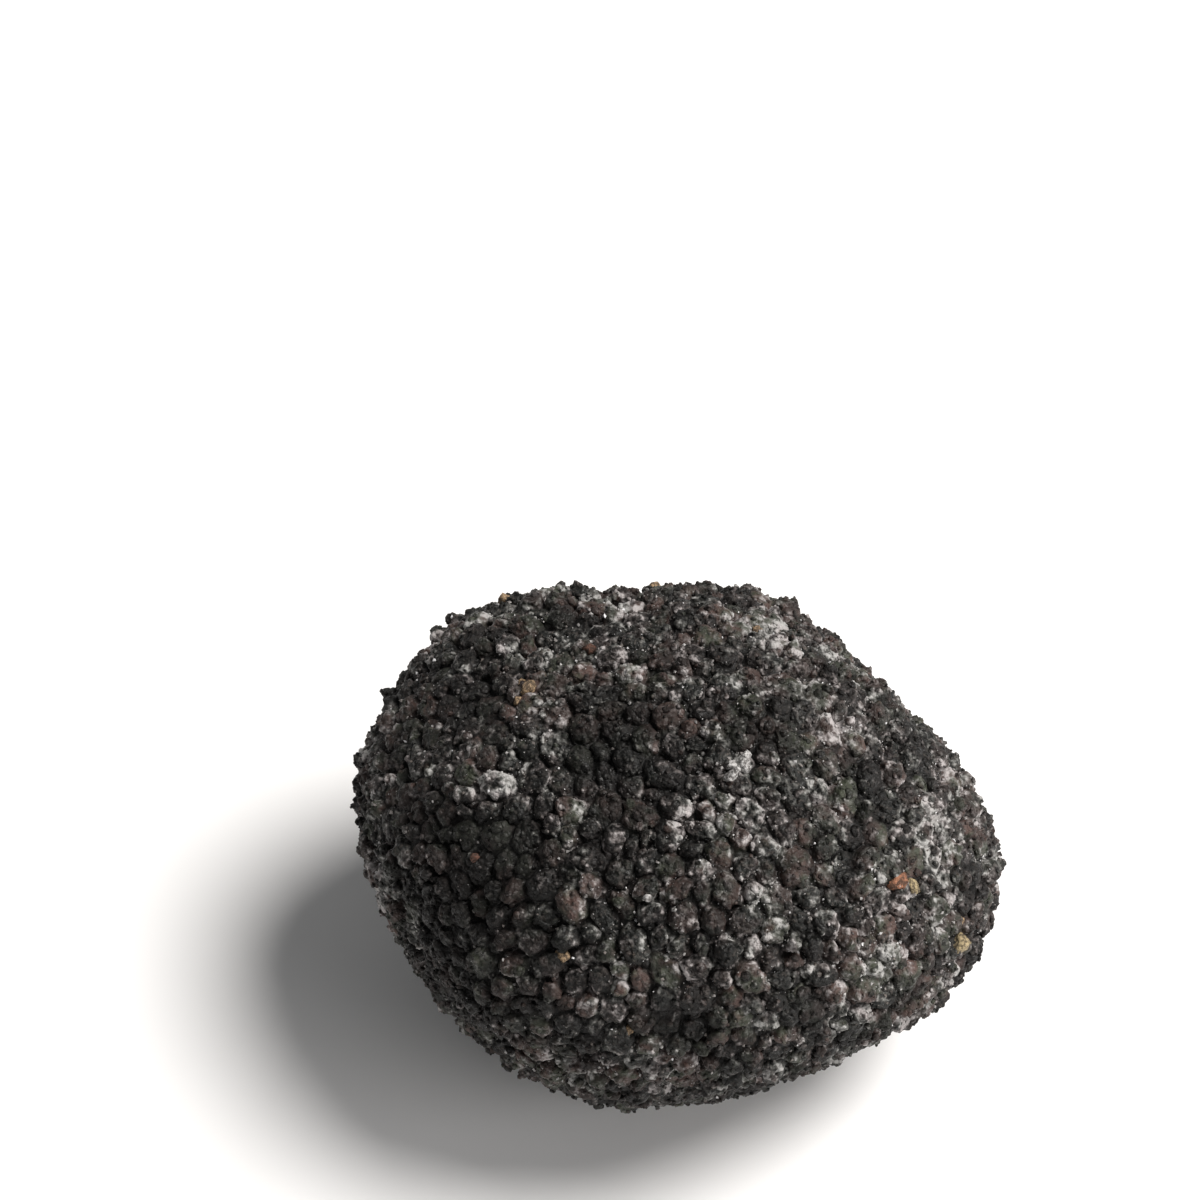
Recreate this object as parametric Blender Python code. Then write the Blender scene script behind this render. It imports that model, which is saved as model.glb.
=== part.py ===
"""A whole black truffle, as dug: a lumpy tuber set all over with low pyramidal warts.

Metres, +Z up. The truffle lies along X and rests on the small level spot under it, so the origin is
at the bottom centre of its box. It grew as one piece, so it is one closed solid.
"""

from math import cos
from math import radians
from math import sin

import bmesh
import bpy
import numpy as np
from mathutils import Vector
from mathutils import noise

# The whole truffle's size.
LENGTH = 0.052
DEPTH = 0.045
HEIGHT = 0.039

# How far the round underside is pressed in where the truffle rests.
PRESSED = 0.0011

# Warts: how far apart two small tops and two large ones stand, and how far the crevices lie under
# the tops as a share of the distance between them.
SMALL_WART_SPACING = 0.00135
LARGE_WART_SPACING = 0.00215
CREVICE_DEPTH_SHARE = 0.3

# Gentle waves of the whole surface, between its swellings and its warts.
WAVE_HEIGHT = 0.00035
WAVE_LENGTH = 0.008

# Darts thrown at the body to place the warts: enough to leave no room for one more.
DARTS = 30000
SEED = 11

# The middle of the body, which every direction is measured from.
MIDDLE = Vector((0, 0, HEIGHT / 2))

# Broad swellings (+) and hollows (-) of the body: bearing from +X towards +Y, elevation and angular
# reach in degrees, then height as a share of the body's radius.
SWELLINGS = (
    ("back left shoulder", 136, 27, 23, 0.100),
    ("left shoulder", 160, 12, 20, 0.035),
    ("back knob", 78, 33, 12, 0.030),
    ("back saddle", 96, 34, 11, -0.055),
    ("back right flat", 36, 21, 22, -0.125),
    ("right lobe", -18, -10, 21, 0.052),
    ("front right flat", -60, -28, 20, -0.070),
    ("front left flat", -150, -14, 26, -0.062),
    ("left ridge", -158, 48, 15, 0.040),
    ("front ridge", -120, 16, 16, 0.040),
    ("top hollow", -122, 70, 15, -0.060),
    ("top right swelling", 10, 62, 22, 0.030),
    ("front swelling", -75, 22, 26, 0.025),
    ("rear furrow", 62, -8, 13, -0.060),
    ("rear swelling", 100, -18, 20, 0.040),
    ("under hollow", 175, -42, 16, -0.040),
)


def direction(bearing, elevation):
    """The unit vector that points to a bearing and elevation in degrees."""
    flat = cos(radians(elevation))
    across = flat * cos(radians(bearing))
    back = flat * sin(radians(bearing))
    return np.array((across, back, sin(radians(elevation))))


def body_points(directions):
    """The body's surface in these directions from its middle, before it is pressed level."""
    share = np.ones(len(directions))
    for _, bearing, elevation, reach, height in SWELLINGS:
        angle = np.arccos(np.clip(directions @ direction(bearing, elevation), -1, 1))
        share += height * np.exp(-((angle / radians(reach)) ** 2))
    half_size = np.array((LENGTH, DEPTH, HEIGHT + PRESSED)) / 2
    points = directions * half_size * share[:, None]
    waves = np.array([noise.noise(Vector(point) / WAVE_LENGTH) for point in points])
    return points + directions * (WAVE_HEIGHT * waves)[:, None]


def wart_tops():
    """The tops of the warts: darts thrown at the body, each kept where it has room."""
    rng = np.random.default_rng(SEED)
    thrown = rng.normal(size=(DARTS, 3))
    thrown /= np.linalg.norm(thrown, axis=1)[:, None]
    places = body_points(thrown)
    spacings = rng.uniform(SMALL_WART_SPACING, LARGE_WART_SPACING, DARTS)
    kept = np.empty((0, 3))
    kept_spacings = np.empty(0)
    for place, spacing in zip(places, spacings):
        room = np.linalg.norm(kept - place, axis=1) - (kept_spacings + spacing) / 2
        if room.min(initial=1.0) > 0:
            kept = np.vstack((kept, place))
            kept_spacings = np.append(kept_spacings, spacing)
    return kept


def fitted(points):
    """The points moved and stretched to the truffle's box, with the underside still round."""
    low = points.min(axis=0)
    high = points.max(axis=0)
    size = np.array((LENGTH, DEPTH, HEIGHT + PRESSED))
    base = np.array((-LENGTH / 2, -DEPTH / 2, -PRESSED))
    return base + (points - low) / (high - low) * size


def wart_net(tops):
    """The triangles that join each wart top to its neighbours, all round the body.

    They come from the hull of the tops seen as directions, and then each top goes to its place, or
    onto the resting level if it lies under that.
    """
    net = bmesh.new()
    for top in tops:
        net.verts.new((Vector(top) - MIDDLE).normalized())
    bmesh.ops.convex_hull(net, input=net.verts)
    for vert, top in zip(net.verts, tops):
        vert.co = Vector((top[0], top[1], max(top[2], 0.0)))
    return net


def crevice_corner(face):
    """Where three warts meet: sunk under their tops, unless all three are pressed level."""
    corner = face.calc_center_median()
    if max(vert.co.z for vert in face.verts) == 0.0:
        return corner
    apart = sum(edge.calc_length() for edge in face.edges) / 3
    inward = (MIDDLE - corner).normalized()
    return corner + inward * CREVICE_DEPTH_SHARE * apart


def warted_body(tops):
    """The solid: each wart a low pyramid on the crevices round it, and the underside level."""
    net = wart_net(tops)
    body = bmesh.new()
    top_of = {vert: body.verts.new(vert.co) for vert in net.verts}
    corner_of = {face: body.verts.new(crevice_corner(face)) for face in net.faces}
    for edge in net.edges:
        for loop in edge.link_loops:
            here = corner_of[loop.face]
            there = corner_of[loop.link_loop_radial_next.face]
            body.faces.new((top_of[loop.vert], there, here))
    net.free()
    level = [face for face in body.faces if max(vert.co.z for vert in face.verts) == 0.0]
    bmesh.ops.dissolve_faces(body, faces=level, use_verts=True)
    bmesh.ops.recalc_face_normals(body, faces=body.faces)
    return body


def skin_material():
    """Black-brown, dry and matte."""
    material = bpy.data.materials.new("black_skin")
    material.use_nodes = True
    shader = material.node_tree.nodes["Principled BSDF"]
    shader.inputs["Base Color"].default_value = (0.022, 0.018, 0.016, 1.0)
    shader.inputs["Roughness"].default_value = 0.8
    shader.inputs["Metallic"].default_value = 0.0
    return material


def make_truffle():
    body = warted_body(fitted(wart_tops()))
    mesh = bpy.data.meshes.new("truffle")
    body.to_mesh(mesh)
    body.free()
    mesh.materials.append(skin_material())
    truffle = bpy.data.objects.new("truffle", mesh)
    bpy.context.scene.collection.objects.link(truffle)
    return truffle


for old in list(bpy.data.objects):
    bpy.data.objects.remove(old)
make_truffle()
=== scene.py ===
"""The finish of a whole black truffle: its cracked, warty skin, the frost and soil on it, and a set.

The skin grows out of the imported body: each of its pyramids becomes one wart. Lengths are in metres.
"""

from math import cos, pi, radians, sin

import bmesh
import bpy
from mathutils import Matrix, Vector
from mathutils.bvhtree import BVHTree


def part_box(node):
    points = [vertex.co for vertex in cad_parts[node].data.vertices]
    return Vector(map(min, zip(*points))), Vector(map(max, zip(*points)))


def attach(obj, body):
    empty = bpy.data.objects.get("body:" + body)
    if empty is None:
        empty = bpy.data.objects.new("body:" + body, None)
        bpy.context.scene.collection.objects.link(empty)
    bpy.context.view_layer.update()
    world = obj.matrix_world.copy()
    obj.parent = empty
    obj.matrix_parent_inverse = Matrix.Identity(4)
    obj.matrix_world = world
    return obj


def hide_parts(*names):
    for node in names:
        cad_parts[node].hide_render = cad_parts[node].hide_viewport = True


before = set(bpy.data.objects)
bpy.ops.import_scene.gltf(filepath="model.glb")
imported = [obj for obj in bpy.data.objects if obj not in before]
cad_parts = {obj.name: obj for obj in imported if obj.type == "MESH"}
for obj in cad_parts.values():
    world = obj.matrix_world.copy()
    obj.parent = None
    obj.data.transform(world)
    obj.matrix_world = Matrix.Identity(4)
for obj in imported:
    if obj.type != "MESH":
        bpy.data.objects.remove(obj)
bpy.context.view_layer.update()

MM = 0.001
LOW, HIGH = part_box("truffle")
MIDDLE = (LOW + HIGH) / 2

# Skin: warts and the crevices between them.
MERGE = 0.002 * MM
TOP_STANDS_OUT = 0.05 * MM
REST_LEVEL = 0.05 * MM
FACING_DOWN = -0.99
BASE_WART_SPACING = 1.75 * MM
CORNER_WANDER = 0.25 * MM
TOP_WANDER = 0.35 * MM
CREVICE_DEPTH = 0.9 * MM
SHOULDER_IN = 0.12
CROWN_IN = 0.5
SKIN_SEED = 4

# How far a wart's height strays either way, how far some crowns are caved in, how far the rest stand
# out, and how much lower the shoulders lie.
RISE = 0.30 * MM
CAVED_IN = 0.35 * MM
CROWN_OUT = 0.06 * MM
SHOULDER_DROP = 0.10 * MM

# Patterns of the surface: how large each one is, and how high where it has a height of its own.
DEPTH_PATTERN = 2.6 * MM
CORNER_PATTERN = 1.1 * MM
LUMP_PATTERN = 1.3 * MM
LUMP_HEIGHT = 0.5 * MM
KNOB_PATTERN = 0.75 * MM
KNOB_HEIGHT = 0.42 * MM
FINE_PATTERN = 0.35 * MM
FINE_HEIGHT = 0.42 * MM

# Seeds of the random draws, apart from those given among the sizes of each tree.
TINT_DRAW = 5
TURN_DRAW = 6
STRETCH_DRAW = 7
SIZE_DRAW = 8
FROST_DRAW = 9
RISE_DRAW = 21
CROWN_DRAW = 22
ASIDE_DRAW = 23
DUSTED_DRAW = 24

# Points tried per square metre, which is more than their spacing leaves room for.
REST_POINTS_PER_M2 = 8e6
CRUMB_POINTS_PER_M2 = 6e6

# Where frost lies thick (+) or thin (-), partly frost as it lies and partly painted light and shade:
# thicker on the lit right side, thinner on the shaded left flank, front left and top hollow. Bearing
# from +X towards +Y, elevation and reach in degrees, then how much.
FROST_AND_PAINTED_LIGHT_PLACES = (
    ("right side", -14, 25, 32, 0.10),
    ("right edge", -8, 20, 10, 0.14),
    ("front right", -45, 15, 13, 0.48),
    ("front right bulge", -68, 33, 8, 0.28),
    ("top right", 55, 56, 10, 0.20),
    ("right ridge", 4, 54, 10, 0.15),
    ("top clump", -56, 68, 4, 1.0),
    ("upper left streak", -156, 48, 5, 0.65),
    ("upper left ridge", 132, 58, 10, 0.32),
    ("back left band", 133, 24, 8, 0.25),
    ("upper front streak", -134, 51, 5, 0.40),
    ("middle front streak", -119, 46, 5, 0.40),
    ("lower front streak", -109, 37, 6, 0.35),
    ("front", -96, 34, 9, 0.22),
    ("top hollow", -136, 69, 11, -0.85),
    ("left flank", -142, 33, 13, -0.45),
    ("front left", -138, 16, 20, -0.50),
    ("low front left", -119, 15, 8, -0.25),
    ("front dark spot", -80, 44, 5, -0.35),
    ("low front dark spot", -82, 17, 5, -0.35),
    ("right dark spot", -17, 44, 6, -0.35),
    ("crown dark spot", -20, 66, 5, -0.40),
    ("back", 90, -5, 40, 0.10),
)

# How much frost lies everywhere, and how large its uneven patches and its veins are.
FROST_EVERYWHERE = 0.34
FROST_PATCH = 5.5 * MM
FROST_VEIN = 7.0 * MM

# Knobs and crumbs that make up each wart: the least distance between two, the radius of an ordinary
# one, how uneven it is and how far its middle stands out of the skin, as shares of its radius.
KNOBS = {"Spacing": 0.95 * MM, "Size": 0.43 * MM, "Wobble": 0.55, "Stand Out": -0.3, "Seed": 3}
CRUMBS = {"Spacing": 0.72 * MM, "Size": 0.24 * MM, "Wobble": 0.6, "Stand Out": -0.2, "Seed": 8}
KNOB_CRUMBS = {"Spacing": 0.44 * MM, "Size": 0.19 * MM, "Wobble": 0.6, "Stand Out": -0.1, "Seed": 9}

# Frost grains along the edges of the warts.
FROST_PER_M2 = 7.0e6
FROST_SIZE = 0.11 * MM
FROST_CLUMP = 1.2 * MM
FROST_SEED = 12

# How many uneven versions of a grain there are to pick from.
GRAIN_VERSIONS = 5

# Grains of soil and the larger bits of frost: bearing and elevation in degrees, radius in millimetres
# and colour.
TAN = (0.36, 0.25, 0.15)
ORANGE = (0.33, 0.145, 0.08)
YELLOW = (0.38, 0.30, 0.17)
RUST = (0.10, 0.045, 0.030)
WHITE = (0.50, 0.49, 0.48)
GRAINS = (
    (167, 54, 0.80, TAN),
    (172, 52, 0.55, TAN),
    (163, 51, 0.42, TAN),
    (-33, 26, 0.80, ORANGE),
    (-31, 23.5, 0.60, YELLOW),
    (-26, 3, 0.80, YELLOW),
    (-23, 5, 0.50, TAN),
    (-118, 25, 0.62, TAN),
    (-101, 11, 0.46, TAN),
    (-147, 33, 0.40, RUST),
    (140, 62, 0.60, RUST),
    (55, 57, 0.60, TAN),
    (131, 27, 0.50, TAN),
    (-59, 67, 0.70, WHITE),
    (-55, 69.5, 0.60, WHITE),
    (-49, 67.5, 0.62, WHITE),
    (-44, 69, 0.45, WHITE),
    (-100, 42, 0.45, WHITE),
    (-92, 40, 0.26, WHITE),
    (95, 20, 0.65, TAN),
    (70, -12, 0.60, ORANGE),
    (-170, -5, 0.50, TAN),
    (118, 2, 0.45, WHITE),
    (20, -18, 0.60, TAN),
)

# How far a grain is sunk, as a share of its radius, and a distance well outside the truffle in
# millimetres, from which each grain's place on the skin is found.
GRAIN_SINK = 0.05
WELL_OUTSIDE = 60

VIEW_ELEVATION = radians(52)
LENS = 150.0
SENSOR = 36.0


# ---------------------------------------------------------------- helpers


def direction(bearing, elevation):
    """The unit vector that points to a bearing and elevation in degrees."""
    flat = cos(radians(elevation))
    across = flat * cos(radians(bearing))
    back = flat * sin(radians(bearing))
    return Vector((across, back, sin(radians(elevation))))


def in_scene(name, data):
    """A new object in the scene that holds this mesh, lamp or camera."""
    made = bpy.data.objects.new(name, data)
    bpy.context.scene.collection.objects.link(made)
    return made


def add(tree, kind, inputs=None, **settings):
    """A new node with its settings set, and each of its inputs linked or filled in."""
    made = tree.nodes.new(kind)
    for name, value in settings.items():
        setattr(made, name, value)
    for key, value in (inputs or {}).items():
        if isinstance(value, bpy.types.NodeSocket):
            tree.links.new(value, made.inputs[key])
        else:
            made.inputs[key].default_value = value
    return made


def calc(tree, operation, *values):
    """One Math node's result."""
    inputs = dict(enumerate(values))
    return add(tree, "ShaderNodeMath", inputs, operation=operation).outputs[0]


def vector(tree, operation, *values, scale=None, result="Vector"):
    """One Vector Math node's result."""
    inputs = dict(enumerate(values))
    if scale is not None:
        inputs["Scale"] = scale
    return add(tree, "ShaderNodeVectorMath", inputs, operation=operation).outputs[result]


def spread(tree, value, low, high, to_low=0.0, to_high=1.0, smooth=True):
    """A value taken from one range to another, and held inside it."""
    kind = "SMOOTHSTEP" if smooth else "LINEAR"
    inputs = {"Value": value, "From Min": low, "From Max": high, "To Min": to_low, "To Max": to_high}
    return add(tree, "ShaderNodeMapRange", inputs, interpolation_type=kind).outputs["Result"]


def noise_at(tree, place, scale, detail=2.0, rough=0.5, result="Fac"):
    """A Noise Texture at a place, by default its value from 0 to 1."""
    inputs = {"Vector": place, "Scale": scale, "Detail": detail, "Roughness": rough}
    made = add(tree, "ShaderNodeTexNoise", inputs, noise_dimensions="3D")
    return made.outputs[result]


def blend(tree, factor, a, b, kind="VECTOR"):
    """A mix of two vectors, colours or numbers."""
    first = {"FLOAT": 2, "VECTOR": 4, "RGBA": 6}[kind]
    result = {"FLOAT": 0, "VECTOR": 1, "RGBA": 2}[kind]
    inputs = {0: factor, first: a, first + 1: b}
    return add(tree, "ShaderNodeMix", inputs, data_type=kind).outputs[result]


SOCKETS = {int: "NodeSocketInt", float: "NodeSocketFloat"}


def new_tree(name, sizes):
    """An empty geometry tree with named inputs, and its group input and output nodes."""
    tree = bpy.data.node_groups.new(name, "GeometryNodeTree")
    interface = tree.interface
    interface.new_socket("Geometry", in_out="INPUT", socket_type="NodeSocketGeometry")
    interface.new_socket("Geometry", in_out="OUTPUT", socket_type="NodeSocketGeometry")
    for label, value in sizes.items():
        socket = interface.new_socket(label, in_out="INPUT", socket_type=SOCKETS[type(value)])
        socket.default_value = value
    interface.new_socket("Material", in_out="INPUT", socket_type="NodeSocketMaterial")
    return tree, tree.nodes.new("NodeGroupInput").outputs, tree.nodes.new("NodeGroupOutput").inputs


def made_plain(source, tree, values, name):
    """The source object with the tree run on it, as a new object with a plain mesh."""
    modifier = source.modifiers.new(tree.name, "NODES")
    modifier.node_group = tree
    for item in tree.interface.items_tree:
        if item.item_type == "SOCKET" and item.in_out == "INPUT" and item.name in values:
            modifier[item.identifier] = values[item.name]
    bpy.context.view_layer.update()
    graph = bpy.context.evaluated_depsgraph_get()
    mesh = bpy.data.meshes.new_from_object(source.evaluated_get(graph))
    mesh.name = name
    source.modifiers.remove(modifier)
    return in_scene(name, mesh)


def attribute(tree, name, kind="FLOAT"):
    """A named attribute's value at each point."""
    made = add(tree, "GeometryNodeInputNamedAttribute", {"Name": name}, data_type=kind)
    return made.outputs["Attribute"]


def stored(tree, geometry, name, value, kind="FLOAT", selection=True):
    """The geometry with a value kept on it under a name."""
    inputs = {"Geometry": geometry, "Selection": selection, "Name": name, "Value": value}
    made = add(tree, "GeometryNodeStoreNamedAttribute", inputs, data_type=kind, domain="POINT")
    return made.outputs["Geometry"]


def moved(tree, geometry, position=None, offset=None, selection=True):
    """The geometry with its points set to a place or shifted."""
    inputs = {"Geometry": geometry, "Selection": selection}
    if position is not None:
        inputs["Position"] = position
    if offset is not None:
        inputs["Offset"] = offset
    return add(tree, "GeometryNodeSetPosition", inputs).outputs["Geometry"]


def position_of(tree):
    """Each point's place."""
    return tree.nodes.new("GeometryNodeInputPosition").outputs[0]


def normal_of(tree):
    """The way each point or face looks."""
    return tree.nodes.new("GeometryNodeInputNormal").outputs[0]


def from_middle(tree, position):
    """The direction of a place from the truffle's middle."""
    return vector(tree, "NORMALIZE", vector(tree, "SUBTRACT", position, tuple(MIDDLE)))


def round_ball(tree, segments, rings):
    """A plain ball of radius one, which grains are made from."""
    inputs = {"Segments": segments, "Rings": rings, "Radius": 1.0}
    return add(tree, "GeometryNodeMeshUVSphere", inputs).outputs[0]


def chance(tree, low, high, seed):
    """A random number for each point."""
    inputs = {2: low, 3: high, 8: seed}
    return add(tree, "FunctionNodeRandomValue", inputs, data_type="FLOAT").outputs[1]


def chance_vector(tree, low, high, seed):
    """A random vector for each point."""
    inputs = {0: low, 1: high, 8: seed}
    return add(tree, "FunctionNodeRandomValue", inputs, data_type="FLOAT_VECTOR").outputs[0]


# ---------------------------------------------------------------- skin


def wart_seeds(tree, group):
    """One point for each wart: the body's peaks, and a scatter over the level spot under it."""
    body = group["Geometry"]
    position = position_of(tree)
    normal = normal_of(tree)
    height = add(tree, "ShaderNodeSeparateXYZ", {0: position}).outputs["Z"]
    inputs = {"Value": position, "Iterations": 1}
    around = add(tree, "GeometryNodeBlurAttribute", inputs, data_type="FLOAT_VECTOR").outputs[0]
    above = vector(tree, "SUBTRACT", position, around)
    stands = vector(tree, "DOT_PRODUCT", above, normal, result="Value")
    peak = calc(tree, "GREATER_THAN", stands, TOP_STANDS_OUT)
    is_top = calc(tree, "MULTIPLY", peak, calc(tree, "GREATER_THAN", height, REST_LEVEL))
    tops = add(tree, "GeometryNodeMeshToPoints", {"Mesh": body, "Selection": is_top}).outputs[0]

    down = add(tree, "ShaderNodeSeparateXYZ", {0: normal}).outputs["Z"]
    faces_down = calc(tree, "LESS_THAN", down, FACING_DOWN)
    is_rest = calc(tree, "MULTIPLY", faces_down, calc(tree, "LESS_THAN", height, REST_LEVEL))
    inputs = {
        "Mesh": body,
        "Selection": is_rest,
        "Distance Min": group["Base Wart Spacing"],
        "Density Max": REST_POINTS_PER_M2,
        "Seed": group["Seed"],
    }
    kind = "GeometryNodeDistributePointsOnFaces"
    rest = add(tree, kind, inputs, distribute_method="POISSON").outputs[0]
    joined = tree.nodes.new("GeometryNodeJoinGeometry")
    tree.links.new(rest, joined.inputs[0])
    tree.links.new(tops, joined.inputs[0])
    return stored(tree, joined.outputs[0], "place", position, "FLOAT_VECTOR")


def wart_cells(tree, group):
    """A mesh with one polygon for each wart, whose corners lie where three warts meet."""
    position = position_of(tree)
    seeds = wart_seeds(tree, group)
    ball = moved(tree, seeds, position=from_middle(tree, position))
    hull = add(tree, "GeometryNodeConvexHull", {0: ball}).outputs[0]
    nearest = add(tree, "GeometryNodeSampleNearest", {"Geometry": ball}, domain="POINT").outputs[0]
    inputs = {"Geometry": ball, "Value": attribute(tree, "place", "FLOAT_VECTOR"), "Index": nearest}
    place = add(tree, "GeometryNodeSampleIndex", inputs, data_type="FLOAT_VECTOR").outputs[0]
    net = moved(tree, hull, position=place)
    aside = chance_vector(tree, (-1.0, -1.0, -1.0), (1.0, 1.0, 1.0), ASIDE_DRAW)
    aside = vector(tree, "SCALE", aside, scale=group["Top Wander"])
    net = stored(tree, net, "top", vector(tree, "ADD", position, aside), "FLOAT_VECTOR")
    net = stored(tree, net, "tint", chance(tree, 0.0, 1.0, group["Seed"]))
    net = stored(tree, net, "rise", chance(tree, -1.0, 1.0, RISE_DRAW))
    net = stored(tree, net, "crown", chance(tree, 0.0, 1.0, CROWN_DRAW))
    net = stored(tree, net, "dusted", chance(tree, 0.35, 1.55, DUSTED_DRAW))
    cells = add(tree, "GeometryNodeDualMesh", {"Mesh": net}).outputs[0]
    cells = stored(tree, cells, "outward", normal_of(tree), "FLOAT_VECTOR")
    wander = noise_at(tree, position, 1 / CORNER_PATTERN, result="Color")
    wander = vector(tree, "SUBTRACT", wander, (0.5, 0.5, 0.5))
    size = calc(tree, "MULTIPLY", group["Corner Wander"], 3.0)
    return moved(tree, cells, offset=vector(tree, "SCALE", wander, scale=size))


def frost_and_painted_light_amount(tree):
    """How much frost lies at a place: thick and thin places, which also paint light on the lit right
    and shade on the shaded left, and uneven everywhere.
    """
    position = position_of(tree)
    outward = from_middle(tree, position)
    amount = FROST_EVERYWHERE
    for _, bearing, elevation, reach, much in FROST_AND_PAINTED_LIGHT_PLACES:
        way = tuple(direction(bearing, elevation))
        along = vector(tree, "DOT_PRODUCT", outward, way, result="Value")
        fall = calc(tree, "DIVIDE", calc(tree, "SUBTRACT", along, 1.0), 1 - cos(radians(reach)))
        amount = calc(tree, "MULTIPLY_ADD", calc(tree, "EXPONENT", fall), much, amount)
    patches = noise_at(tree, position, 1 / FROST_PATCH, 3.0, 0.6)
    amount = calc(tree, "ADD", amount, spread(tree, patches, 0.3, 0.7, -0.6, 0.6, smooth=False))
    winding = calc(tree, "SUBTRACT", noise_at(tree, position, 1 / FROST_VEIN, 2.0), 0.5)
    winding = calc(tree, "ABSOLUTE", winding)
    vein = spread(tree, winding, 0.0, 0.035, 0.35, -0.03)
    return calc(tree, "ADD", amount, vein)


def skin_tree():
    """Warts with crevices between them, one for each pyramid of the body."""
    sizes = {
        "Base Wart Spacing": BASE_WART_SPACING,
        "Crevice Depth": CREVICE_DEPTH,
        "Corner Wander": CORNER_WANDER,
        "Top Wander": TOP_WANDER,
        "Seed": SKIN_SEED,
    }
    tree, group, out = new_tree("warty_skin", sizes)
    position = position_of(tree)
    surface = stored(tree, wart_cells(tree, group), "lift", 0.0)

    # Two rings on each cell: the shoulder of its wart, then the crown.
    top = attribute(tree, "top", "FLOAT_VECTOR")
    chosen = True
    for ring, inward in ((1.0, SHOULDER_IN), (2.0, CROWN_IN)):
        inputs = {"Mesh": surface, "Selection": chosen, "Offset Scale": 0.0, "Individual": True}
        raised = add(tree, "GeometryNodeExtrudeMesh", inputs, mode="FACES").outputs
        chosen = raised["Top"]
        surface = stored(tree, raised["Mesh"], "lift", ring, selection=chosen)
        surface = moved(tree, surface, position=blend(tree, inward, position, top), selection=chosen)

    # Heights: crevices sunk, shoulders full, crowns high or caved in.
    lift = attribute(tree, "lift")
    outward = attribute(tree, "outward", "FLOAT_VECTOR")
    uneven = noise_at(tree, position, 1 / DEPTH_PATTERN, 1.0)
    depth = spread(tree, uneven, 0.3, 0.7, 0.4, 1.4, smooth=False)
    crevice = calc(tree, "MULTIPLY", calc(tree, "MULTIPLY", depth, group["Crevice Depth"]), -1.0)
    rise = calc(tree, "MULTIPLY", attribute(tree, "rise"), RISE)
    caved = spread(tree, attribute(tree, "crown"), 0.0, 0.3, -CAVED_IN, CROWN_OUT)
    crown = calc(tree, "ADD", rise, caved)
    shoulder = calc(tree, "SUBTRACT", rise, SHOULDER_DROP)
    is_crown = calc(tree, "GREATER_THAN", lift, 1.5)
    is_wart = calc(tree, "GREATER_THAN", lift, 0.5)
    height = blend(tree, is_crown, shoulder, crown, "FLOAT")
    height = blend(tree, is_wart, crevice, height, "FLOAT")
    surface = moved(tree, surface, offset=vector(tree, "SCALE", outward, scale=height))

    crease = spread(tree, lift, 0.2, 0.3, 0.9, 0.0, smooth=False)
    inputs = {"Mesh": surface, "Level": 1, "Edge Crease": crease}
    surface = add(tree, "GeometryNodeSubdivisionSurface", inputs).outputs[0]

    # Lumps and crumbs of the surface, each finer than the last.
    lumps = calc(tree, "SUBTRACT", noise_at(tree, position, 1 / LUMP_PATTERN, 1.0), 0.5)
    inputs = {"Vector": position, "Scale": 1 / KNOB_PATTERN, "Randomness": 1.0}
    cell = add(tree, "ShaderNodeTexVoronoi", inputs, feature="F1").outputs["Distance"]
    knobs = calc(tree, "SUBTRACT", 0.45, cell)
    fine = calc(tree, "SUBTRACT", noise_at(tree, position, 1 / FINE_PATTERN, 1.0), 0.5)
    crumbs = calc(tree, "MULTIPLY", fine, FINE_HEIGHT)
    crumbs = calc(tree, "MULTIPLY_ADD", knobs, KNOB_HEIGHT, crumbs)
    crumbs = calc(tree, "MULTIPLY_ADD", lumps, LUMP_HEIGHT, crumbs)
    surface = moved(tree, surface, offset=vector(tree, "SCALE", normal_of(tree), scale=crumbs))
    surface = moved(tree, surface, position=above_floor(tree))
    # The frost amount also carries painted light and shade: the material lightens the lit right and
    # darkens the shaded left with it.
    surface = stored(tree, surface, "frost", frost_and_painted_light_amount(tree))
    surface = add(tree, "GeometryNodeSetShadeSmooth", {"Geometry": surface}).outputs[0]
    finish_tree(tree, group, out, surface)
    return tree


def above_floor(tree):
    """Each point's place, or the point over it at the level that the truffle rests on."""
    parts = add(tree, "ShaderNodeSeparateXYZ", {0: position_of(tree)}).outputs
    inputs = {0: parts["X"], 1: parts["Y"], 2: calc(tree, "MAXIMUM", parts["Z"], 0.0)}
    return add(tree, "ShaderNodeCombineXYZ", inputs).outputs[0]


def finish_tree(tree, group, out, geometry):
    """The end of every tree: real meshes that wear the material."""
    real = add(tree, "GeometryNodeRealizeInstances", {0: geometry}).outputs[0]
    worn = add(tree, "GeometryNodeSetMaterial", {"Geometry": real, "Material": group["Material"]})
    tree.links.new(worn.outputs[0], out[0])


# ---------------------------------------------------------------- crumbs and frost


def grain_shapes(tree, round_one, wobble):
    """A few uneven versions of one grain, as instances to pick from."""
    shapes = tree.nodes.new("GeometryNodeGeometryToInstance")
    for number in range(GRAIN_VERSIONS):
        shift = vector(tree, "ADD", position_of(tree), (number * 7.3, 1.7, number * 3.1))
        noise = noise_at(tree, shift, 1.1, 0.0, result="Color")
        off = vector(tree, "SUBTRACT", noise, (0.5, 0.5, 0.5))
        uneven = moved(tree, round_one, offset=vector(tree, "SCALE", off, scale=wobble))
        tree.links.new(uneven, shapes.inputs[0])
    return shapes.outputs[0]


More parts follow.
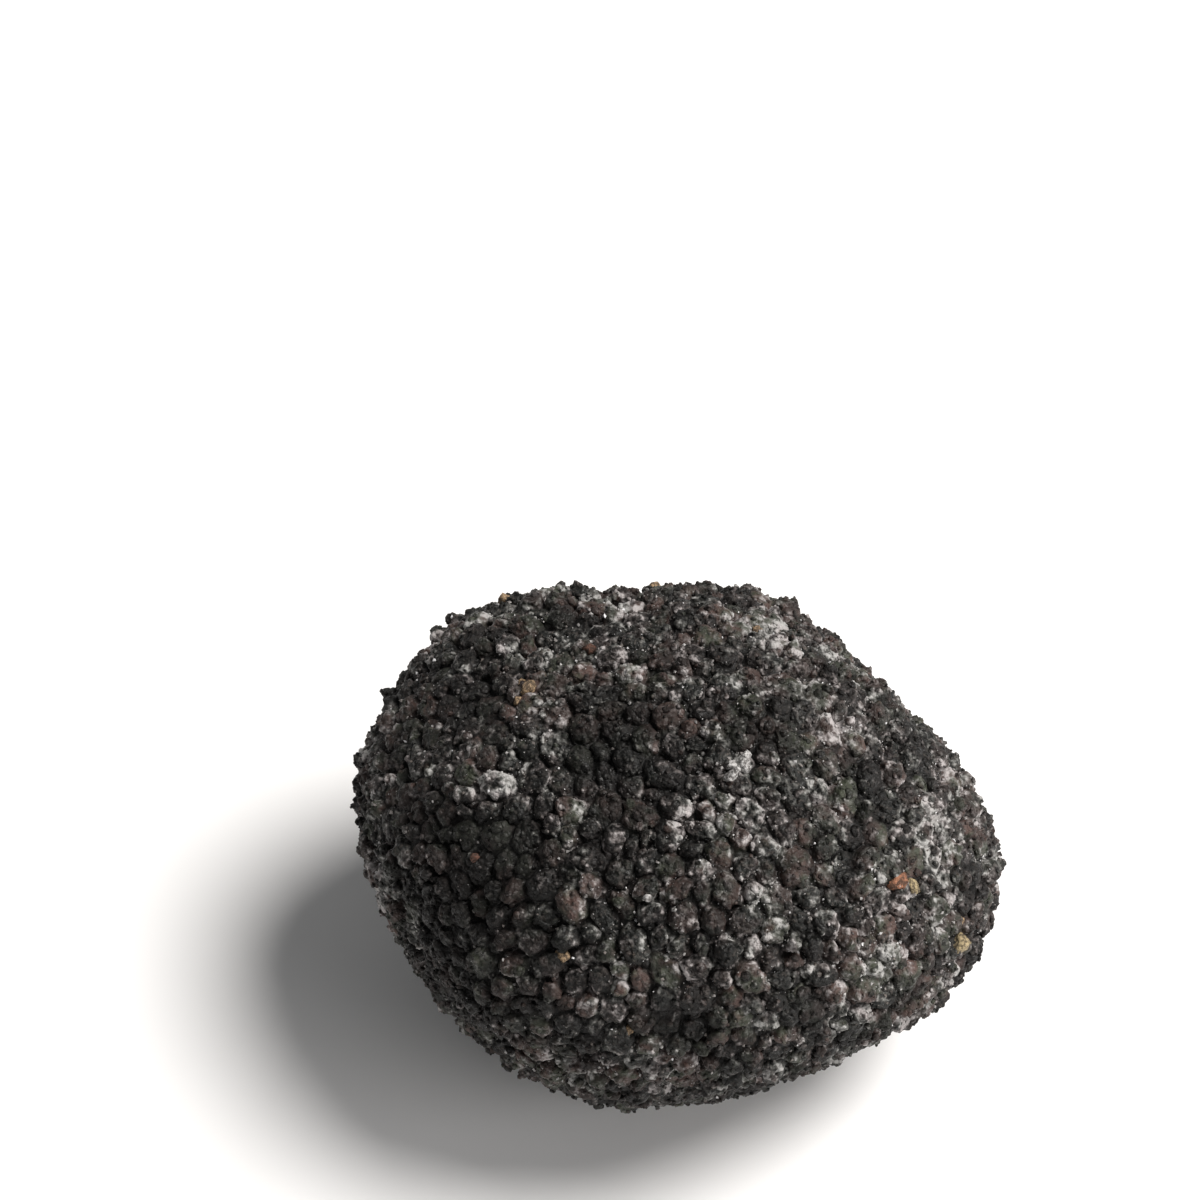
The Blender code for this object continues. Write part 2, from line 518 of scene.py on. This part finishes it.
def scattered(tree, points, outward, shapes, size, stand_out):
    """Grains standing on the skin at these points, each turned and sized its own way."""
    out_by = calc(tree, "MULTIPLY", size, stand_out)
    points = moved(tree, points, offset=vector(tree, "SCALE", outward, scale=out_by))
    long_ways = chance_vector(tree, (0.75, 0.7, 0.65), (1.2, 1.1, 1.0), STRETCH_DRAW)
    inputs = {
        "Points": points,
        "Instance": shapes,
        "Pick Instance": True,
        "Rotation": chance_vector(tree, (0, 0, 0), (2 * pi, 2 * pi, 2 * pi), TURN_DRAW),
        "Scale": vector(tree, "SCALE", long_ways, scale=size),
    }
    placed = add(tree, "GeometryNodeInstanceOnPoints", inputs).outputs[0]
    real = add(tree, "GeometryNodeRealizeInstances", {0: placed}).outputs[0]
    return moved(tree, real, position=above_floor(tree))


def crumb_tree(name, sizes, segments, rings):
    """Knobs or crumbs that the warts are made of, sunk into the skin by a share of their size."""
    tree, group, out = new_tree(name, sizes)
    shapes = grain_shapes(tree, round_ball(tree, segments, rings), group["Wobble"])
    on_wart = calc(tree, "GREATER_THAN", attribute(tree, "lift"), 0.35)
    outward = from_middle(tree, position_of(tree))
    facing = vector(tree, "DOT_PRODUCT", outward, normal_of(tree), result="Value")
    inputs = {
        "Mesh": group["Geometry"],
        "Selection": calc(tree, "MULTIPLY", on_wart, calc(tree, "GREATER_THAN", facing, 0.1)),
        "Distance Min": group["Spacing"],
        "Density Max": CRUMB_POINTS_PER_M2,
        "Seed": group["Seed"],
    }
    kind = "GeometryNodeDistributePointsOnFaces"
    cast = add(tree, kind, inputs, distribute_method="POISSON").outputs
    own_tint = chance(tree, 0.0, 1.0, TINT_DRAW)
    tint = blend(tree, 0.55, own_tint, attribute(tree, "tint"), "FLOAT")
    points = stored(tree, cast["Points"], "tint", tint)
    # Crumbs take the frost amount, and with it its painted light and shade.
    frost = calc(tree, "ADD", attribute(tree, "frost"), chance(tree, -0.3, 0.3, FROST_DRAW))
    points = stored(tree, points, "frost", frost)
    size = calc(tree, "MULTIPLY", group["Size"], chance(tree, 0.65, 1.3, SIZE_DRAW))
    crumbs = scattered(tree, points, cast["Normal"], shapes, size, group["Stand Out"])
    crumbs = add(tree, "GeometryNodeSetShadeSmooth", {"Geometry": crumbs}).outputs[0]
    finish_tree(tree, group, out, crumbs)
    return tree


def frost_tree():
    """Pale grains of frost along the edges of the warts and in the crevices."""
    sizes = {"Per Square Metre": FROST_PER_M2, "Size": FROST_SIZE, "Seed": FROST_SEED}
    tree, group, out = new_tree("frost_grains", sizes)
    shapes = grain_shapes(tree, round_ball(tree, 4, 2), 1.1)
    lift = attribute(tree, "lift")
    edge = spread(tree, lift, 1.1, 1.8, 1.0, 0.45)
    # More frost grains on the lit right and fewer on the shaded left: frost, and painted light and
    # shade along with it.
    frost = spread(tree, attribute(tree, "frost"), 0.1, 1.1, 0.03, 1.2, smooth=False)
    clump = noise_at(tree, position_of(tree), 1 / FROST_CLUMP, 2.0)
    clump = spread(tree, clump, 0.42, 0.62, 0.1, 1.0)
    density = calc(tree, "MULTIPLY", calc(tree, "MULTIPLY", edge, frost), clump)
    density = calc(tree, "MULTIPLY", density, group["Per Square Metre"])
    inputs = {"Mesh": group["Geometry"], "Density": density, "Seed": group["Seed"]}
    kind = "GeometryNodeDistributePointsOnFaces"
    cast = add(tree, kind, inputs, distribute_method="RANDOM").outputs
    points = stored(tree, cast["Points"], "tint", chance(tree, 0.0, 1.0, TINT_DRAW))
    few_large = calc(tree, "POWER", chance(tree, 0.0, 1.0, SIZE_DRAW), 5.0)
    share = spread(tree, few_large, 0.0, 1.0, 0.5, 1.9, smooth=False)
    size = calc(tree, "MULTIPLY", group["Size"], share)
    grains = scattered(tree, points, cast["Normal"], shapes, size, 0.35)
    finish_tree(tree, group, out, grains)
    return tree


def grain_tree():
    """Uneven grains where the points are, each with the point's own size and colour."""
    tree, group, out = new_tree("soil_grains", {"Wobble": 1.3})
    ball = add(tree, "GeometryNodeMeshIcoSphere", {"Radius": 1.0, "Subdivisions": 2}).outputs[0]
    shapes = grain_shapes(tree, ball, group["Wobble"])
    points = add(tree, "GeometryNodeMeshToPoints", {"Mesh": group["Geometry"]}).outputs[0]
    grains = scattered(tree, points, (0.0, 0.0, 0.0), shapes, attribute(tree, "size"), 0.0)
    grains = add(tree, "GeometryNodeSetShadeSmooth", {"Geometry": grains}).outputs[0]
    finish_tree(tree, group, out, grains)
    return tree


def grain_points(skin):
    """A point for each grain, on the skin in its direction from the middle."""
    surface = BVHTree.FromPolygons(
        [vert.co for vert in skin.data.vertices], [face.vertices for face in skin.data.polygons]
    )
    places = []
    for bearing, elevation, radius, _ in GRAINS:
        way = direction(bearing, elevation)
        hit = surface.ray_cast(MIDDLE + way * WELL_OUTSIDE * MM, -way)[0]
        places.append(hit - way * GRAIN_SINK * radius * MM)
    mesh = bpy.data.meshes.new("grain_points")
    mesh.from_pydata(places, [], [])
    sizes = mesh.attributes.new("size", "FLOAT", "POINT")
    colours = mesh.attributes.new("tone", "FLOAT_VECTOR", "POINT")
    for size, colour, grain in zip(sizes.data, colours.data, GRAINS):
        size.value = grain[2] * MM
        colour.vector = grain[3]
    return in_scene("grain_points", mesh)


def body_copy():
    """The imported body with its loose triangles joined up."""
    body = in_scene("body_copy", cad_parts["truffle"].data.copy())
    joined = bmesh.new()
    joined.from_mesh(body.data)
    bmesh.ops.remove_doubles(joined, verts=joined.verts, dist=MERGE)
    joined.to_mesh(body.data)
    joined.free()
    return body


# ---------------------------------------------------------------- materials


def new_material(name):
    """A new material, its node tree and its shader."""
    material = bpy.data.materials.new(name)
    material.use_nodes = True
    tree = material.node_tree
    return material, tree, tree.nodes["Principled BSDF"]


def place_on(tree):
    """The place on the piece that is being coloured."""
    return tree.nodes.new("ShaderNodeTexCoord").outputs["Object"]


def shader_attribute(tree, name, result="Fac"):
    """A named attribute's value, as the material reads it."""
    return add(tree, "ShaderNodeAttribute", attribute_name=name).outputs[result]


def skin_material():
    """Black-brown skin, each wart its own shade, with frost and dust in patches and specks."""
    material, tree, shader = new_material("truffle_skin")
    place = place_on(tree)
    lift = shader_attribute(tree, "lift")
    tint = shader_attribute(tree, "tint")
    frost = shader_attribute(tree, "frost")

    # The bare skin: brown and olive warts, with painted shade that makes it black in the crevices and
    # where no frost lies, as on the shaded left flank.
    hue = noise_at(tree, place, 1 / (2.5 * MM), 2.0, 0.6)
    shade = spread(tree, tint, 0.3, 1.0)
    brown = blend(tree, shade, (0.008, 0.006, 0.0055, 1), (0.074, 0.045, 0.038, 1), "RGBA")
    olive = blend(tree, shade, (0.006, 0.0068, 0.006, 1), (0.041, 0.046, 0.031, 1), "RGBA")
    bare = blend(tree, spread(tree, hue, 0.42, 0.58), olive, brown, "RGBA")
    grain = noise_at(tree, place, 1 / (0.36 * MM), 2.0, 0.6)
    bare = blend(tree, spread(tree, grain, 0.5, 0.75), bare, (0.070, 0.061, 0.055, 1), "RGBA")
    # Painted shade: the skin goes near black in the crevice bottoms and where the frost amount is
    # low, which includes the shaded left flank and top hollow.
    out_of_painted_shade = spread(tree, lift, 0.0, 0.9, 0.25, 1.0)
    out_of_painted_shade = calc(tree, "MULTIPLY", out_of_painted_shade, spread(tree, frost, 0.0, 0.85, 0.22, 1.25))
    bare = blend(tree, out_of_painted_shade, (0.0025, 0.0022, 0.002, 1), bare, "RGBA")

    # Frost: on the walls of the crevices, thick in patches, broken into clumps and specks.
    ring = spread(tree, lift, 0.0, 0.7, 0.45, 1.0)
    ring = calc(tree, "MULTIPLY", ring, spread(tree, lift, 1.0, 1.9, 1.0, 0.6))
    dusted = calc(tree, "MULTIPLY", ring, shader_attribute(tree, "dusted"))
    # Frost cover follows the frost amount, so it is partly painted light on the lit right side and
    # painted shade on the shaded left.
    edge = calc(tree, "MULTIPLY", dusted, frost)
    clump = noise_at(tree, place, 1 / (0.9 * MM), 1.0, 0.5)
    speck = noise_at(tree, place, 1 / (0.40 * MM), 1.5, 0.6)
    broken = calc(tree, "MULTIPLY", calc(tree, "SUBTRACT", clump, 0.5), 3.6)
    broken = calc(tree, "MULTIPLY_ADD", calc(tree, "SUBTRACT", speck, 0.5), 2.6, broken)
    cover = calc(tree, "MULTIPLY_ADD", edge, 1.35, broken)
    haze = spread(tree, cover, 0.3, 1.3, 0.0, 0.55)
    thick = spread(tree, cover, 0.9, 1.8)
    tinge = spread(tree, hue, 0.42, 0.58)
    film = blend(tree, tinge, (0.156, 0.155, 0.144, 1), (0.168, 0.148, 0.144, 1), "RGBA")
    white = blend(tree, tinge, (0.340, 0.336, 0.325, 1), (0.355, 0.330, 0.326, 1), "RGBA")
    colour = blend(tree, haze, bare, film, "RGBA")
    colour = blend(tree, thick, colour, white, "RGBA")
    tree.links.new(colour, shader.inputs["Base Color"])
    rough = spread(tree, grain, 0.35, 0.65, 0.42, 0.85)
    tree.links.new(rough, shader.inputs["Roughness"])
    shader.inputs["Specular IOR Level"].default_value = 0.3

    inputs = {"Vector": place, "Scale": 1 / (0.5 * MM), "Randomness": 1.0}
    cell = add(tree, "ShaderNodeTexVoronoi", inputs, feature="F1").outputs["Distance"]
    height = calc(tree, "MULTIPLY_ADD", grain, 0.8, calc(tree, "MULTIPLY", speck, 0.5))
    height = calc(tree, "MULTIPLY_ADD", cell, -0.8, height)
    bump = add(tree, "ShaderNodeBump", {"Strength": 1.0, "Distance": 0.25 * MM, "Height": height})
    tree.links.new(bump.outputs[0], shader.inputs["Normal"])
    return material


def soil_material():
    """Soil and frost grains: each its own colour, mottled."""
    material, tree, shader = new_material("soil")
    place = place_on(tree)
    tone = shader_attribute(tree, "tone", "Color")
    grain = noise_at(tree, place, 1 / (0.32 * MM), 3.0, 0.75)
    dark = blend(tree, 0.85, tone, (0.022, 0.017, 0.014, 1), "RGBA")
    colour = blend(tree, spread(tree, grain, 0.40, 0.62), dark, tone, "RGBA")
    tree.links.new(colour, shader.inputs["Base Color"])
    tree.links.new(spread(tree, grain, 0.3, 0.7, 0.9, 0.55), shader.inputs["Roughness"])
    shader.inputs["Specular IOR Level"].default_value = 0.3
    bump = add(tree, "ShaderNodeBump", {"Strength": 1.0, "Distance": 0.2 * MM, "Height": grain})
    tree.links.new(bump.outputs[0], shader.inputs["Normal"])
    return material


def frost_material():
    """Frost and pale grit: white to grey-tan grains, some of them glinting."""
    material, tree, shader = new_material("frost")
    tint = shader_attribute(tree, "tint")
    ramp = add(tree, "ShaderNodeValToRGB", {0: tint})
    stops = (
        (0.0, (0.10, 0.085, 0.075, 1)),
        (0.45, (0.20, 0.185, 0.178, 1)),
        (0.85, (0.34, 0.33, 0.325, 1)),
        (1.0, (0.72, 0.72, 0.73, 1)),
    )
    while len(ramp.color_ramp.elements) < len(stops):
        ramp.color_ramp.elements.new(0.5)
    for element, (at, colour) in zip(ramp.color_ramp.elements, stops):
        element.position = at
        element.color = colour
    tree.links.new(ramp.outputs[0], shader.inputs["Base Color"])
    tree.links.new(spread(tree, tint, 0.0, 1.0, 0.8, 0.25), shader.inputs["Roughness"])
    return material


def floor_material():
    """Plain white paper, very slightly uneven in tone."""
    material, tree, shader = new_material("floor_white")
    place = place_on(tree)
    tone = noise_at(tree, place, 1 / (12 * MM), 3.0)
    colour = blend(tree, tone, (0.84, 0.84, 0.84, 1), (0.86, 0.86, 0.86, 1), "RGBA")
    tree.links.new(colour, shader.inputs["Base Color"])
    shader.inputs["Roughness"].default_value = 0.8
    return material


# ---------------------------------------------------------------- making


body = body_copy()
skin_finish = skin_material()
skin = made_plain(body, skin_tree(), {"Material": skin_finish}, "truffle_skin")
bpy.data.objects.remove(body)
knob_nodes = crumb_tree("wart_knobs", KNOBS, 7, 4)
knobs = made_plain(skin, knob_nodes, {"Material": skin_finish}, "wart_knobs")
crumb_nodes = crumb_tree("wart_crumbs", CRUMBS, 5, 3)
crumbs = made_plain(skin, crumb_nodes, {"Material": skin_finish}, "wart_crumbs")
crumb_nodes = crumb_tree("knob_crumbs", KNOB_CRUMBS, 5, 3)
knob_crumbs = made_plain(knobs, crumb_nodes, {"Material": skin_finish}, "knob_crumbs")
frost = made_plain(skin, frost_tree(), {"Material": frost_material()}, "frost_grains")
points = grain_points(skin)
grains = made_plain(points, grain_tree(), {"Material": soil_material()}, "soil_grains")
bpy.data.objects.remove(points)
for piece in (skin, knobs, crumbs, knob_crumbs, frost, grains):
    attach(piece, "root")
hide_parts("truffle")

# ---------------------------------------------------------------- set, light and camera

UP = Vector((0, sin(VIEW_ELEVATION), cos(VIEW_ELEVATION)))
BACK = Vector((0, -cos(VIEW_ELEVATION), sin(VIEW_ELEVATION)))
VIEW_WIDTH = 97.3 * MM
TRUFFLE_RIGHT_OF_VIEW = 6.3 * MM
TRUFFLE_BELOW_VIEW = 19.5 * MM
FLOOR_REACH = 4.0
FLOOR_DROP = 0.01 * MM
KEY_PLACE = (0.33, 0.05, 0.56)
KEY_STRENGTH = 4.5
KEY_SPREAD = radians(30)
KEY_COLOUR = (1.0, 0.97, 0.94)
SIDE_PLACE = (0.55, -0.30, 0.25)
SIDE_POWER = 2.2
SIDE_WIDTH = 0.4
SIDE_COLOUR = (1.0, 0.97, 0.95)
STUDIO_STRENGTH = 0.21


def lamp(name, kind, place, power, colour):
    """A lamp at a place, turned to the truffle."""
    data = bpy.data.lights.new(name, kind)
    data.energy = power
    data.color = colour
    light = in_scene(name, data)
    light.location = place
    light.rotation_mode = "QUATERNION"
    light.rotation_quaternion = (Vector(place) - MIDDLE).to_track_quat("Z", "Y")
    return data


floor_mesh = bpy.data.meshes.new("floor")
corners = [(x * FLOOR_REACH, y * FLOOR_REACH, 0) for x, y in ((-1, -1), (1, -1), (1, 1), (-1, 1))]
floor_mesh.from_pydata(corners, [], [(0, 1, 2, 3)])
floor_mesh.materials.append(floor_material())
floor = in_scene("floor", floor_mesh)
floor.location.z = -FLOOR_DROP

key = lamp("key", "SUN", KEY_PLACE, KEY_STRENGTH, KEY_COLOUR)
key.angle = KEY_SPREAD
side = lamp("side", "AREA", SIDE_PLACE, SIDE_POWER, SIDE_COLOUR)
side.shape = "DISK"
side.size = SIDE_WIDTH
world = bpy.data.worlds.new("studio")
world.use_nodes = True
studio = world.node_tree.nodes["Background"].inputs
studio["Color"].default_value = (1.0, 1.0, 1.0, 1.0)
studio["Strength"].default_value = STUDIO_STRENGTH
bpy.context.scene.world = world

camera_data = bpy.data.cameras.new("camera")
camera_data.lens = LENS
camera_data.sensor_width = SENSOR
camera = in_scene("camera", camera_data)
aim = MIDDLE - Vector((TRUFFLE_RIGHT_OF_VIEW, 0, 0)) + UP * TRUFFLE_BELOW_VIEW
camera.location = aim + BACK * VIEW_WIDTH * LENS / SENSOR
camera.rotation_mode = "QUATERNION"
camera.rotation_quaternion = BACK.to_track_quat("Z", "Y")
bpy.context.scene.camera = camera
bpy.context.scene.view_settings.view_transform = "Standard"
